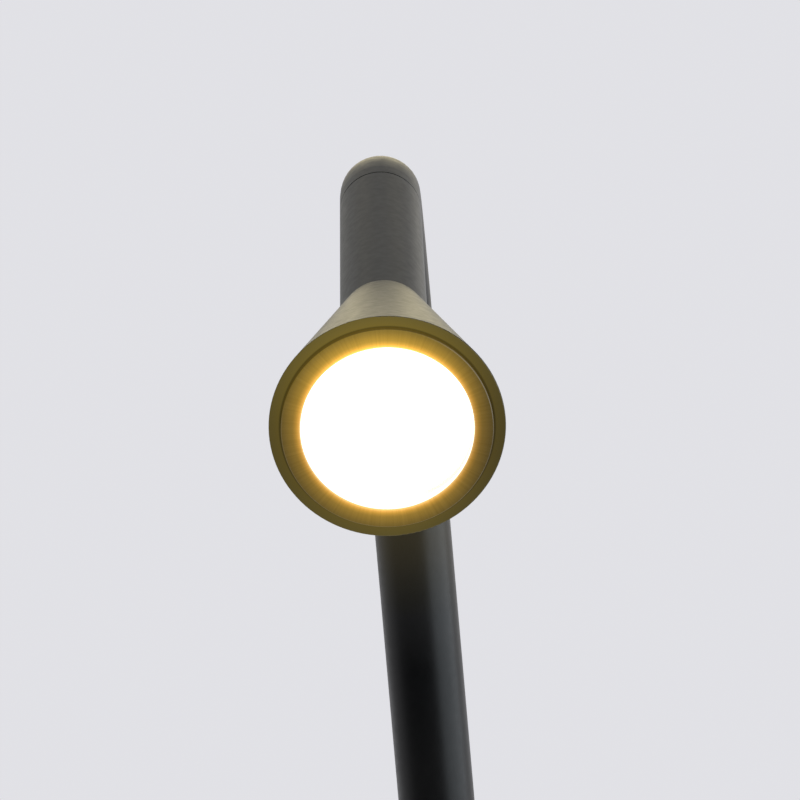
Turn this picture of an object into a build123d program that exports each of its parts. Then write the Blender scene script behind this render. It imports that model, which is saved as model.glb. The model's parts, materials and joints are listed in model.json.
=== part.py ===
"""Wall lamp: a cone head on a bent tube arm that swings on a hub in front of a round canopy.

Sizes are in millimetres. Z is up, the wall is the plane Y = 0 and the lamp stands out
towards -Y. The origin is the centre of the wall bracket's back face.
"""

import os
from math import asin, cos, degrees, radians, sin

from build123d import *

os.makedirs("parts", exist_ok=True)

# Fits and clearances
running_clearance = 0.05
axial_play = 0.1
slip_clearance = 0.2
button_clearance = 0.3
hole_clearance = 0.2
overrun = 1.0

# Arm: one tube size runs from the hub to the head
tube_radius = 12.5
tube_wall = 1.5
stem_length = 252.0
bend_radius = 50.0
head_tilt = 18.0
stub_length = 6.0
head_tube_length = 97.0
joint_chamfer = 0.35

# Where the arm stands
wall_to_stem = 75.0

# Cone head, measured along its own axis from the small end
cone_length = 80.0
rim_radius = 31.5
rim_edge = 0.3
shell_wall = 2.6
shell_web = 4.0
seat_radius = 28.5
seat_depth = 5.0
seat_gap = 0.25

# Bezel, lens, gasket and reflector
aperture_radius = 23.1
bezel_stand = 1.5
bezel_edge = 0.25
lens_radius = 25.4
lens_thickness = 2.5
gasket_thickness = 1.0
gasket_bore = 22.6
reflector_wall = 1.0
reflector_flange = 1.0
reflector_mouth = 22.4
reflector_throat = 7.6

# Light engine
sink_core_radius = 6.5
sink_plate_thickness = 4.0
sink_plate_station = 34.0
sink_gap = 0.8
fin_start = 10.0
fin_thickness = 1.4
fin_count = 12
board_radius = 14.5
board_thickness = 1.6
chip_radius = 7.0
chip_height = 0.8
led_screw_circle = 12.0
led_screw_radius = 1.25
led_screw_head_radius = 2.1
led_screw_head_height = 1.4
led_screw_recess = 0.7
led_screw_count = 3

# Head fixing
nipple_radius = 5.0
nipple_bore = 3.2
nipple_in_sink = 10.0
nipple_in_collar = 12.0
collar_length = 14.0
spigot_bore = 8.0
spigot_length = 24.0
spigot_screw_setback = 9.0
spigot_screw_spread = 35.0

# Set screws with a hexagon socket
set_screw_radius = 2.0
set_screw_inset = 0.3
set_screw_socket = 1.0
set_screw_socket_depth = 2.0

# Hub and bearings
hub_radius = 19.0
hub_top = 32.0
hub_bottom = -34.0
hub_edge = 1.5
bush_radius = 11.0
bush_relief = 0.6
bush_flange_radius = 14.0
bush_flange = 2.0
upper_bush_length = 12.0
lower_bush_length = 9.0
cavity_radius = 15.5
cavity_top = -14.0
hub_cap_thickness = 3.0
hub_cap_spigot = 4.0
hub_cap_spigot_wall = 2.0
hub_cap_edge = 0.8

# Spindle that turns in the hub
journal_radius = 9.0
spindle_bore = 5.5
spindle_flange_radius = 14.0
spindle_flange = 4.0
spindle_flange_edge = 0.8
spindle_plug_length = 28.0
spindle_thread_radius = 8.0
spindle_thread_start = -15.0
spindle_end = -27.0
window_bottom = -4.0
window_top = 8.0
window_span = 240.0
arm_screw_height = 14.0
arm_screw_length = 5.2

# Stop that limits the swing
swing_each_way = 90.0
stop_pin_radius = 1.5
stop_pin_height = 12.0
stop_groove_depth = 1.8
stop_groove_clearance = 0.2

# Friction stack under the hub
washer_thickness = 1.0
washer_radius = 14.0
spring_height = 1.6
spring_thickness = 0.8
spring_radius = 12.5
retaining_nut_flats = 12.0
retaining_nut_height = 6.0

# Canopy and wall bracket
canopy_depth = 28.0
canopy_wall = 2.0
canopy_edge = 6.0
canopy_face_margin = 4.5
plate_thickness = 2.0
plate_clearance = 1.0
fixing_centres = 64.0
fixing_slot_width = 4.5
fixing_slot_length = 10.0
entry_hole_radius = 9.0
tab_setback = 1.0
tab_thickness = 2.0
tab_width = 14.0
tab_reach = 14.0
canopy_screw_height = 9.0
canopy_screw_length = 9.0
grommet_bore = 6.0
grommet_lip = 2.0
grommet_lip_thickness = 1.5

# Neck between canopy and hub
neck_radius = 9.0
neck_bore = 4.0
neck_in_hub = 5.0
neck_thread_radius = 6.5
neck_thread_length = 9.0
neck_washer_radius = 11.0
neck_washer_thickness = 1.5
neck_nut_flats = 9.5
neck_nut_height = 5.0

# Electrical parts behind the canopy
driver_length = 54.0
driver_width = 22.0
driver_height = 18.0
driver_gap = 5.0
driver_edge = 1.5
driver_lug_reach = 7.0
driver_lug_width = 9.0
driver_lug_thickness = 2.5
driver_screw_inset = 3.4
panel_screw_radius = 1.5
panel_screw_head_radius = 2.8
panel_screw_head_height = 1.8
panel_screw_slot = 0.8
terminal_length = 28.0
terminal_width = 14.0
terminal_height = 13.0
terminal_gap = 2.0
terminal_pitch = 9.0
terminal_ways = 3
terminal_edge = 0.8
terminal_wire_hole = 1.6
terminal_wire_height = 5.0
terminal_screw_radius = 1.7
terminal_screw_depth = 5.0
terminal_screw_length = 3.5
earth_screw_setback = 9.8
earth_screw_angle = 31.4
earth_screw_radius = 2.0
earth_screw_head_radius = 3.8
earth_screw_head_height = 2.4
earth_washer_radius = 4.6
earth_washer_thickness = 0.8

# Push switch in the canopy
switch_gap = 2.2
switch_barrel_radius = 6.0
switch_bezel_radius = 8.5
switch_bezel_thickness = 1.5
switch_bezel_edge = 0.6
switch_body_depth = 17.0
switch_block_radius = 6.8
switch_block_depth = 6.0
switch_tag_width = 2.8
switch_tag_thickness = 0.6
switch_tag_length = 4.0
switch_tag_spread = 6.0
switch_nut_flats = 7.5
switch_nut_height = 2.5
button_radius = 4.2
button_length = 8.0
button_stand = 2.6
button_travel = 1.8
button_edge = 0.7

# Leads
lead_radius = 1.75
lead_bend = 5.0
mains_wire_radius = 0.9

# Sizes and places that follow from the ones above
tube_bore = tube_radius - tube_wall
grommet_radius = entry_hole_radius + grommet_lip
driver_foot = grommet_radius + driver_gap
driver_centre_height = driver_foot + driver_width / 2
terminal_top = -grommet_radius - terminal_gap
terminal_foot = terminal_top - terminal_width
terminal_centre_height = (terminal_top + terminal_foot) / 2
switch_height = terminal_foot - switch_gap - switch_block_radius
canopy_radius = -switch_height + switch_bezel_radius + canopy_face_margin + canopy_edge
plate_radius = canopy_radius - canopy_wall - plate_clearance
earth_screw_x = -(plate_radius - earth_screw_setback) * cos(radians(earth_screw_angle))
earth_screw_y = -(plate_radius - earth_screw_setback) * sin(radians(earth_screw_angle))
earth_screw_place = (earth_screw_x, earth_screw_y)
canopy_inside = canopy_depth - canopy_wall
driver_screw_x = driver_length / 2 + driver_screw_inset
driver_screw_places = [(-driver_screw_x, driver_centre_height), (driver_screw_x, driver_centre_height)]
spindle_flange_bottom = hub_top + bush_flange + axial_play
tube_start = spindle_flange_bottom + spindle_flange
bend_start = tube_start + stem_length
turn = 90 + head_tilt
stem_y = -wall_to_stem
bend_end_y = stem_y - bend_radius * (1 - cos(radians(turn)))
bend_end_z = bend_start + bend_radius * sin(radians(turn))
head_direction = Vector(0, -cos(radians(head_tilt)), -sin(radians(head_tilt)))
bend_end = Vector(0, bend_end_y, bend_end_z)
seam = bend_end + head_direction * stub_length
cone_start = seam + head_direction * head_tube_length
stop_pin_angle = degrees(asin((stop_pin_radius + stop_groove_clearance) / (journal_radius - stop_groove_depth)))
stop_groove_span = (swing_each_way + stop_pin_angle) * 2
stop_groove_bottom = stop_pin_height - stop_pin_radius - stop_groove_clearance
stop_groove_top = stop_pin_height + stop_pin_radius + stop_groove_clearance

# Planes and axes of the wall, the stem and the head
wall_section = Plane(origin=(0, 0, 0), x_dir=(1, 0, 0), z_dir=(0, 0, -1))
wall_axis = Axis((0, 0, 0), (0, -1, 0))
stem_section = Plane.XZ.offset(wall_to_stem)
stem_axis = Axis((0, stem_y, 0), (0, 0, 1))
head_face = Plane(origin=cone_start, x_dir=(1, 0, 0), z_dir=head_direction)
head_section = Plane(origin=cone_start, x_dir=(1, 0, 0), z_dir=Vector(1, 0, 0).cross(head_direction))
head_axis = Axis(cone_start, head_direction)


def cone_radius(station):
    """Outer radius of the cone shell at a distance from its small end."""
    return tube_radius + (rim_radius - tube_radius) * station / (cone_length - rim_edge)


def upright_plane(azimuth):
    """Plane through the stem's axis: x runs outward at the azimuth and y runs up."""
    angle = radians(azimuth)
    return Plane(origin=(0, stem_y, 0), x_dir=(cos(angle), sin(angle), 0), z_dir=(sin(angle), -cos(angle), 0))


def under_plane(side):
    """Plane through the head's axis that faces down and to one side; its y runs along the axis."""
    down = head_section.x_dir.cross(head_direction)
    angle = radians(spigot_screw_spread)
    facing = down * cos(angle) + head_section.x_dir * sin(angle) * side
    return Plane(origin=cone_start, x_dir=head_direction.cross(facing), z_dir=facing)


# Wall bracket: a round steel plate with two fixing slots and two bent tabs
with BuildPart() as wall_bracket:
    with BuildSketch(Plane.XZ):
        Circle(plate_radius)
        Circle(entry_hole_radius, mode=Mode.SUBTRACT)
        with Locations((-fixing_centres / 2, 0), (fixing_centres / 2, 0)):
            SlotOverall(fixing_slot_length, fixing_slot_width, mode=Mode.SUBTRACT)
        with Locations(driver_screw_places):
            Circle(panel_screw_radius, mode=Mode.SUBTRACT)
        with Locations(earth_screw_place):
            Circle(earth_screw_radius, mode=Mode.SUBTRACT)
    extrude(amount=plate_thickness)
    tab_centre = plate_radius - tab_setback - tab_thickness / 2
    with BuildSketch(Plane.XZ.offset(plate_thickness)):
        with Locations((-tab_centre, 0), (tab_centre, 0)):
            Rectangle(tab_thickness, tab_width)
    extrude(amount=tab_reach)
    tab_tips = wall_bracket.faces().sort_by(Axis.Y)[:2]
    fillet(tab_tips.edges().filter_by(Axis.X), tab_width / 4)
    with BuildSketch(Plane.YZ):
        with Locations((-canopy_screw_height, 0)):
            Circle(set_screw_radius)
    extrude(amount=plate_radius, both=True, mode=Mode.SUBTRACT)

# Rubber grommet in the supply entry
with BuildPart() as entry_grommet:
    with BuildSketch(wall_section):
        with BuildLine():
            Polyline(
                (grommet_bore, 0),
                (entry_hole_radius, 0),
                (entry_hole_radius, plate_thickness),
                (grommet_radius, plate_thickness),
                (grommet_radius, plate_thickness + grommet_lip_thickness),
                (grommet_bore, plate_thickness + grommet_lip_thickness),
                close=True,
            )
        make_face()
    revolve(axis=wall_axis)

# Earth screw with its washer
with BuildPart() as earth_screw:
    with BuildSketch(Plane.XZ):
        with Locations(earth_screw_place):
            Circle(earth_screw_radius)
    extrude(amount=plate_thickness)
    with BuildSketch(Plane.XZ.offset(plate_thickness)):
        with Locations(earth_screw_place):
            Circle(earth_washer_radius)
    extrude(amount=earth_washer_thickness)
    with BuildSketch(Plane.XZ.offset(plate_thickness + earth_washer_thickness)):
        with Locations(earth_screw_place):
            Circle(earth_screw_head_radius)
    extrude(amount=earth_screw_head_height)
    head_rim = earth_screw.faces().sort_by(Axis.Y)[0].edges()
    fillet(head_rim, earth_screw_head_height / 3)
    slot_plane = Plane.XZ.offset(plate_thickness + earth_washer_thickness + earth_screw_head_height / 2)
    with BuildSketch(slot_plane):
        with Locations(earth_screw_place):
            Rectangle(earth_screw_head_radius * 2, panel_screw_slot)
    extrude(amount=earth_screw_head_height, mode=Mode.SUBTRACT)

# Terminal block with three ways, and its clamping screws
with BuildPart() as terminal_block:
    with BuildSketch(Plane.XZ.offset(plate_thickness)):
        with Locations((0, terminal_centre_height)):
            RectangleRounded(terminal_length, terminal_width, terminal_edge)
    extrude(amount=terminal_height)
    with BuildSketch(Plane.XZ.offset(plate_thickness + terminal_height)):
        with Locations((0, terminal_centre_height)):
            with GridLocations(terminal_pitch, 0, terminal_ways, 1):
                Circle(terminal_screw_radius + hole_clearance)
    extrude(amount=-terminal_screw_depth, mode=Mode.SUBTRACT)
    with BuildSketch(Plane.XY.offset(terminal_centre_height)):
        with Locations((0, -plate_thickness - terminal_wire_height)):
            with GridLocations(terminal_pitch, 0, terminal_ways, 1):
                Circle(terminal_wire_hole)
    extrude(amount=terminal_width, both=True, mode=Mode.SUBTRACT)

with BuildPart() as terminal_screws:
    screw_seat = plate_thickness + terminal_height - terminal_screw_depth
    with BuildSketch(Plane.XZ.offset(screw_seat)):
        with Locations((0, terminal_centre_height)):
            with GridLocations(terminal_pitch, 0, terminal_ways, 1):
                Circle(terminal_screw_radius)
    extrude(amount=terminal_screw_length)
    with BuildSketch(Plane.XZ.offset(screw_seat + terminal_screw_length)):
        with Locations((0, terminal_centre_height)):
            with GridLocations(terminal_pitch, 0, terminal_ways, 1):
                Rectangle(terminal_screw_radius * 2, panel_screw_slot)
    extrude(amount=-panel_screw_slot, mode=Mode.SUBTRACT)

# Light driver: a closed box with a fixing lug at each end
with BuildPart() as led_driver:
    with BuildSketch(Plane.XZ.offset(plate_thickness)):
        with Locations((0, driver_centre_height)):
            RectangleRounded(driver_length, driver_width, driver_edge)
    extrude(amount=driver_height)
    fillet(led_driver.faces().sort_by(Axis.Y)[0].edges(), driver_edge)
    with BuildSketch(Plane.XZ.offset(plate_thickness)):
        with Locations((0, driver_centre_height)):
            RectangleRounded(driver_length + driver_lug_reach * 2, driver_lug_width, driver_edge)
    extrude(amount=driver_lug_thickness)
    with BuildSketch(Plane.XZ.offset(plate_thickness)):
        with Locations(driver_screw_places):
            Circle(panel_screw_radius + hole_clearance)
    extrude(amount=driver_lug_thickness, mode=Mode.SUBTRACT)

with BuildPart() as driver_screws:
    with BuildSketch(Plane.XZ):
        with Locations(driver_screw_places):
            Circle(panel_screw_radius)
    extrude(amount=plate_thickness + driver_lug_thickness)
    with BuildSketch(Plane.XZ.offset(plate_thickness + driver_lug_thickness)):
        with Locations(driver_screw_places):
            Circle(panel_screw_head_radius)
    extrude(amount=panel_screw_head_height)
    fillet(driver_screws.faces().sort_by(Axis.Y)[:2].edges(), panel_screw_head_height / 3)
    with BuildSketch(Plane.XZ.offset(plate_thickness + driver_lug_thickness + panel_screw_head_height / 2)):
        with Locations(driver_screw_places):
            Rectangle(panel_screw_head_radius * 2, panel_screw_slot)
            Rectangle(panel_screw_slot, panel_screw_head_radius * 2)
    extrude(amount=panel_screw_head_height, mode=Mode.SUBTRACT)

# Canopy: a round cup with a rounded front edge
with BuildPart() as canopy:
    with BuildSketch(Plane.XZ):
        Circle(canopy_radius)
    extrude(amount=canopy_depth)
    fillet(canopy.faces().sort_by(Axis.Y)[0].edges(), canopy_edge)
    offset(amount=-canopy_wall, openings=canopy.faces().sort_by(Axis.Y)[-1])
    with BuildSketch(Plane.XZ.offset(canopy_inside - overrun)):
        Circle(neck_thread_radius + hole_clearance)
        with Locations((0, switch_height)):
            Circle(switch_barrel_radius + hole_clearance)
    extrude(amount=canopy_wall + overrun * 2, mode=Mode.SUBTRACT)
    with BuildSketch(Plane.YZ):
        with Locations((-canopy_screw_height, 0)):
            Circle(set_screw_radius + hole_clearance)
    extrude(amount=canopy_radius + overrun, both=True, mode=Mode.SUBTRACT)

# Canopy set screws, one at each side
with BuildPart() as canopy_screws:
    for side in (-1, 1):
        outer_end = Plane.YZ.offset(side * (canopy_radius - set_screw_inset))
        with BuildSketch(outer_end):
            with Locations((-canopy_screw_height, 0)):
                Circle(set_screw_radius)
        extrude(amount=-side * canopy_screw_length)
        with BuildSketch(outer_end):
            with Locations((-canopy_screw_height, 0)):
                RegularPolygon(set_screw_socket, 6)
        extrude(amount=-side * set_screw_socket_depth, mode=Mode.SUBTRACT)

# Neck with its washer and nut
neck_front = wall_to_stem - hub_radius + neck_in_hub
neck_back = canopy_inside - neck_thread_length
with BuildPart() as neck_tube:
    with BuildSketch(wall_section):
        with BuildLine():
            Polyline(
                (neck_bore, neck_back),
                (neck_thread_radius, neck_back),
                (neck_thread_radius, canopy_depth),
                (neck_radius, canopy_depth),
                (neck_radius, neck_front),
                (neck_bore, neck_front),
                close=True,
            )
        make_face()
    revolve(axis=wall_axis)

with BuildPart() as neck_washer:
    with BuildSketch(Plane.XZ.offset(canopy_inside)):
        Circle(neck_washer_radius)
        Circle(neck_thread_radius, mode=Mode.SUBTRACT)
    extrude(amount=-neck_washer_thickness)

with BuildPart() as neck_nut:
    with BuildSketch(Plane.XZ.offset(canopy_inside - neck_washer_thickness)):
        RegularPolygon(neck_nut_flats, 6, major_radius=False)
        Circle(neck_thread_radius, mode=Mode.SUBTRACT)
    extrude(amount=-neck_nut_height)

# Hub housing: bored for two bushes, with a cavity below for the friction stack
with BuildPart() as hub_housing:
    with BuildSketch(stem_section):
        with BuildLine():
            Polyline(
                (bush_radius, hub_top),
                (hub_radius - hub_edge, hub_top),
                (hub_radius, hub_top - hub_edge),
                (hub_radius, hub_bottom),
                (cavity_radius, hub_bottom),
                (cavity_radius, cavity_top),
                (bush_radius, cavity_top),
                (bush_radius, cavity_top + lower_bush_length),
                (bush_radius + bush_relief, cavity_top + lower_bush_length),
                (bush_radius + bush_relief, hub_top - upper_bush_length),
                (bush_radius, hub_top - upper_bush_length),
                close=True,
            )
        make_face()
    revolve(axis=stem_axis)
    with BuildSketch(Plane.XZ.offset(neck_front)):
        Circle(neck_radius)
    extrude(amount=-neck_in_hub - overrun, mode=Mode.SUBTRACT)
    with BuildSketch(Plane.XZ.offset(neck_front - overrun)):
        Circle(neck_bore)
    extrude(amount=hub_radius - bush_radius, mode=Mode.SUBTRACT)
    with BuildSketch(Plane.XZ.offset(wall_to_stem - hub_radius - overrun)):
        with Locations((0, stop_pin_height)):
            Circle(stop_pin_radius)
    extrude(amount=hub_radius - bush_radius + overrun, mode=Mode.SUBTRACT)

# Flanged bushes
with BuildPart() as upper_bush:
    with BuildSketch(stem_section):
        with BuildLine():
            Polyline(
                (journal_radius + running_clearance, hub_top - upper_bush_length),
                (bush_radius, hub_top - upper_bush_length),
                (bush_radius, hub_top),
                (bush_flange_radius, hub_top),
                (bush_flange_radius, hub_top + bush_flange),
                (journal_radius + running_clearance, hub_top + bush_flange),
                close=True,
            )
        make_face()
    revolve(axis=stem_axis)

with BuildPart() as lower_bush:
    with BuildSketch(stem_section):
        with BuildLine():
            Polyline(
                (journal_radius + running_clearance, cavity_top + lower_bush_length),
                (bush_radius, cavity_top + lower_bush_length),
                (bush_radius, cavity_top),
                (bush_flange_radius, cavity_top),
                (bush_flange_radius, cavity_top - bush_flange),
                (journal_radius + running_clearance, cavity_top - bush_flange),
                close=True,
            )
        make_face()
    revolve(axis=stem_axis)

# Stop pin pressed in from the wall side
with BuildPart() as stop_pin:
    pin_back = wall_to_stem - hub_radius + set_screw_inset
    pin_tip = wall_to_stem - journal_radius + stop_groove_depth - stop_groove_clearance
    with BuildSketch(Plane.XZ.offset(pin_back)):
        with Locations((0, stop_pin_height)):
            Circle(stop_pin_radius)
    extrude(amount=pin_tip - pin_back)

# Cap that closes the hub from below
with BuildPart() as hub_cap:
    with BuildSketch(stem_section):
        with BuildLine():
            Polyline(
                (0, hub_bottom - hub_cap_thickness),
                (hub_radius - hub_cap_edge, hub_bottom - hub_cap_thickness),
                (hub_radius, hub_bottom - hub_cap_thickness + hub_cap_edge),
                (hub_radius, hub_bottom),
                (cavity_radius, hub_bottom),
                (cavity_radius, hub_bottom + hub_cap_spigot),
                (cavity_radius - hub_cap_spigot_wall, hub_bottom + hub_cap_spigot),
                (cavity_radius - hub_cap_spigot_wall, hub_bottom),
                (0, hub_bottom),
                close=True,
            )
        make_face()
    revolve(axis=stem_axis)

# Push switch: body, fixing nut and button
switch_back = canopy_depth - switch_body_depth
with BuildPart() as switch_body:
    with BuildSketch(Plane.XZ.offset(canopy_depth)):
        with Locations((0, switch_height)):
            Circle(switch_bezel_radius)
    extrude(amount=switch_bezel_thickness)
    fillet(switch_body.faces().sort_by(Axis.Y)[0].edges(), switch_bezel_edge)
    with BuildSketch(Plane.XZ.offset(canopy_depth)):
        with Locations((0, switch_height)):
            Circle(switch_barrel_radius)
    extrude(amount=-switch_body_depth)
    with BuildSketch(Plane.XZ.offset(switch_back)):
        with Locations((0, switch_height)):
            Circle(switch_block_radius)
    extrude(amount=switch_block_depth)
    with BuildSketch(Plane.XZ.offset(switch_back)):
        with Locations((0, switch_height)):
            with GridLocations(switch_tag_spread, 0, 2, 1):
                Rectangle(switch_tag_thickness, switch_tag_width)
    extrude(amount=-switch_tag_length)
    with BuildSketch(Plane.XZ.offset(canopy_depth + switch_bezel_thickness)):
        with Locations((0, switch_height)):
            Circle(button_radius + button_clearance)
    extrude(amount=-(button_length - button_stand + button_travel + button_clearance), mode=Mode.SUBTRACT)

with BuildPart() as switch_nut:
    with BuildSketch(Plane.XZ.offset(canopy_inside)):
        with Locations((0, switch_height)):
            RegularPolygon(switch_nut_flats, 6, major_radius=False)
            Circle(switch_barrel_radius, mode=Mode.SUBTRACT)
    extrude(amount=-switch_nut_height)

with BuildPart() as switch_button:
    button_front = canopy_depth + switch_bezel_thickness + button_stand
    with BuildSketch(Plane.XZ.offset(button_front)):
        with Locations((0, switch_height)):
            Circle(button_radius)
    extrude(amount=-button_length)
    fillet(switch_button.faces().sort_by(Axis.Y)[0].edges(), button_edge)

# Spindle: plug in the arm tube, flange, and journal with lead window and stop groove
spindle_bore_end = window_bottom - overrun
with BuildPart() as pivot_spindle:
    with BuildSketch(stem_section):
        with BuildLine():
            Polyline(
                (spindle_bore, tube_start + spindle_plug_length),
                (tube_bore, tube_start + spindle_plug_length),
                (tube_bore, tube_start),
                (spindle_flange_radius, tube_start),
                (spindle_flange_radius, spindle_flange_bottom),
                (journal_radius, spindle_flange_bottom),
                (journal_radius, spindle_thread_start),
                (spindle_thread_radius, spindle_thread_start),
                (spindle_thread_radius, spindle_end),
                (0, spindle_end),
                (0, spindle_bore_end),
                (spindle_bore, spindle_bore_end),
                close=True,
            )
        make_face()
    revolve(axis=stem_axis)
    flange_edges = pivot_spindle.edges().filter_by(
        lambda edge: edge.geom_type == GeomType.CIRCLE and abs(edge.radius - spindle_flange_radius) < axial_play
    )
    chamfer(flange_edges, spindle_flange_edge)
    for span, low, high, inner in (
        (window_span, window_bottom, window_top, spindle_bore - overrun),
        (stop_groove_span, stop_groove_bottom, stop_groove_top, journal_radius - stop_groove_depth),
    ):
        with BuildSketch(upright_plane(90 - span / 2)):
            with BuildLine():
                Polyline(
                    (inner, low),
                    (journal_radius + overrun, low),
                    (journal_radius + overrun, high),
                    (inner, high),
                    close=True,
                )
            make_face()
        revolve(axis=stem_axis, revolution_arc=span, mode=Mode.SUBTRACT)

# Friction stack on the spindle's thread
friction_washer_top = cavity_top - bush_flange - axial_play
with BuildPart() as friction_washer:
    with BuildSketch(Plane.XY.offset(friction_washer_top)):
        with Locations((0, stem_y)):
            Circle(washer_radius)
            Circle(spindle_thread_radius + slip_clearance, mode=Mode.SUBTRACT)
    extrude(amount=-washer_thickness)

spring_top = friction_washer_top - washer_thickness
with BuildPart() as disc_spring:
    with BuildSketch(stem_section):
        with BuildLine():
            Polyline(
                (spindle_thread_radius + slip_clearance, spring_top - spring_height),
                (spindle_thread_radius + slip_clearance, spring_top - spring_height + spring_thickness),
                (spring_radius, spring_top),
                (spring_radius, spring_top - spring_thickness),
                close=True,
            )
        make_face()
    revolve(axis=stem_axis)

with BuildPart() as retaining_nut:
    with BuildSketch(Plane.XY.offset(spring_top - spring_height)):
        with Locations((0, stem_y)):
            RegularPolygon(retaining_nut_flats, 6, major_radius=False)
            Circle(spindle_thread_radius, mode=Mode.SUBTRACT)
    extrude(amount=-retaining_nut_height)

# Arm tube: upright, bend and a short straight stub up to the seam
arm_screw_level = tube_start + arm_screw_height
with BuildPart() as arm_tube:
    with BuildLine(Plane.YZ) as arm_route:
        Line((stem_y, tube_start), (stem_y, bend_start))
        CenterArc((stem_y - bend_radius, bend_start), bend_radius, 0, turn)
        Line((bend_end.Y, bend_end.Z), (seam.Y, seam.Z))
    with BuildSketch(Plane.XY.offset(tube_start)):
        with Locations((0, stem_y)):
            Circle(tube_radius)
            Circle(tube_bore, mode=Mode.SUBTRACT)
    sweep(path=arm_route.wire())
    end_face = arm_tube.faces().filter_by(GeomType.PLANE).sort_by_distance(seam)[0]
    chamfer(end_face.outer_wire().edges(), joint_chamfer)
    with BuildSketch(Plane.XZ.offset(wall_to_stem)):
        with Locations((0, arm_screw_level)):
            Circle(set_screw_radius)
    extrude(amount=-tube_radius - overrun, mode=Mode.SUBTRACT)

# Set screw that holds the arm tube on the spindle, at the wall side
with BuildPart() as arm_screw:
    arm_screw_face = Plane.XZ.offset(wall_to_stem - tube_radius + set_screw_inset)
    with BuildSketch(arm_screw_face):
        with Locations((0, arm_screw_level)):
            Circle(set_screw_radius)
    extrude(amount=arm_screw_length)
    with BuildSketch(arm_screw_face):
        with Locations((0, arm_screw_level)):
            RegularPolygon(set_screw_socket, 6)
    extrude(amount=set_screw_socket_depth, mode=Mode.SUBTRACT)

# The screw threads into the spindle plug
with BuildPart(mode=Mode.PRIVATE) as arm_screw_hole:
    with BuildSketch(Plane.XZ.offset(wall_to_stem - tube_radius)):
        with Locations((0, arm_screw_level)):
            Circle(set_screw_radius)
    extrude(amount=arm_screw_length + set_screw_inset)
pivot_spindle.part = pivot_spindle.part - arm_screw_hole.part

# Spigot inside the arm tube and the head tube, across the seam
seam_station = -head_tube_length
with BuildPart() as head_spigot:
    spigot_start = seam_station - stub_length
    with BuildSketch(head_section):
        with BuildLine():
            Polyline(
                (spigot_bore, spigot_start),
                (tube_bore, spigot_start),
                (tube_bore, spigot_start + spigot_length),
                (spigot_bore, spigot_start + spigot_length),
                close=True,
            )
        make_face()
    revolve(axis=head_axis)
    for side in (-1, 1):
        with BuildSketch(under_plane(side)):
            with Locations((0, seam_station + spigot_screw_setback)):
                Circle(set_screw_radius)
        extrude(amount=tube_radius, mode=Mode.SUBTRACT)

# Head tube
with BuildPart() as head_tube:
    with BuildSketch(head_face.offset(seam_station)):
        Circle(tube_radius)
        Circle(tube_bore, mode=Mode.SUBTRACT)
    extrude(amount=head_tube_length)
    end_face = head_tube.faces().filter_by(GeomType.PLANE).sort_by_distance(seam)[0]
    chamfer(end_face.outer_wire().edges(), joint_chamfer)
    for side in (-1, 1):
        with BuildSketch(under_plane(side)):
            with Locations((0, seam_station + spigot_screw_setback)):
                Circle(set_screw_radius)
        extrude(amount=tube_radius + overrun, mode=Mode.SUBTRACT)

# Two set screws below the head tube
with BuildPart() as spigot_screws:
    for side in (-1, 1):
        screw_face = under_plane(side).offset(tube_radius - set_screw_inset)
        with BuildSketch(screw_face):
            with Locations((0, seam_station + spigot_screw_setback)):
                Circle(set_screw_radius)
        extrude(amount=-(tube_radius - set_screw_inset - spigot_bore))
        with BuildSketch(screw_face):
            with Locations((0, seam_station + spigot_screw_setback)):
                RegularPolygon(set_screw_socket, 6)
        extrude(amount=-set_screw_socket_depth, mode=Mode.SUBTRACT)

# Collar pressed into the front of the head tube, and the hollow nipple that clamps the shell
with BuildPart() as head_collar:
    with BuildSketch(head_face):
        Circle(tube_bore)
        Circle(nipple_radius, mode=Mode.SUBTRACT)
    extrude(amount=-collar_length)

with BuildPart() as head_nipple:
    with BuildSketch(head_face.offset(-nipple_in_collar)):
        Circle(nipple_radius)
        Circle(nipple_bore, mode=Mode.SUBTRACT)
    extrude(amount=nipple_in_collar + shell_web + nipple_in_sink)

# Cone shell with a seat for the bezel ring
with BuildPart() as head_shell:
    shoulder = cone_length - seat_depth
    with BuildSketch(head_section):
        with BuildLine():
            Line((nipple_radius, 0), (tube_radius, 0))
            Line((tube_radius, 0), (rim_radius, cone_length - rim_edge))
            RadiusArc(
                (rim_radius, cone_length - rim_edge),
                (rim_radius - rim_edge, cone_length),
                -rim_edge,
            )
            Polyline(
                (rim_radius - rim_edge, cone_length),
                (seat_radius, cone_length),
                (seat_radius, shoulder),
                (cone_radius(shoulder) - shell_wall, shoulder),
                (cone_radius(shell_web) - shell_wall, shell_web),
                (nipple_radius, shell_web),
                (nipple_radius, 0),
            )
        make_face()
    revolve(axis=head_axis)

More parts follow.
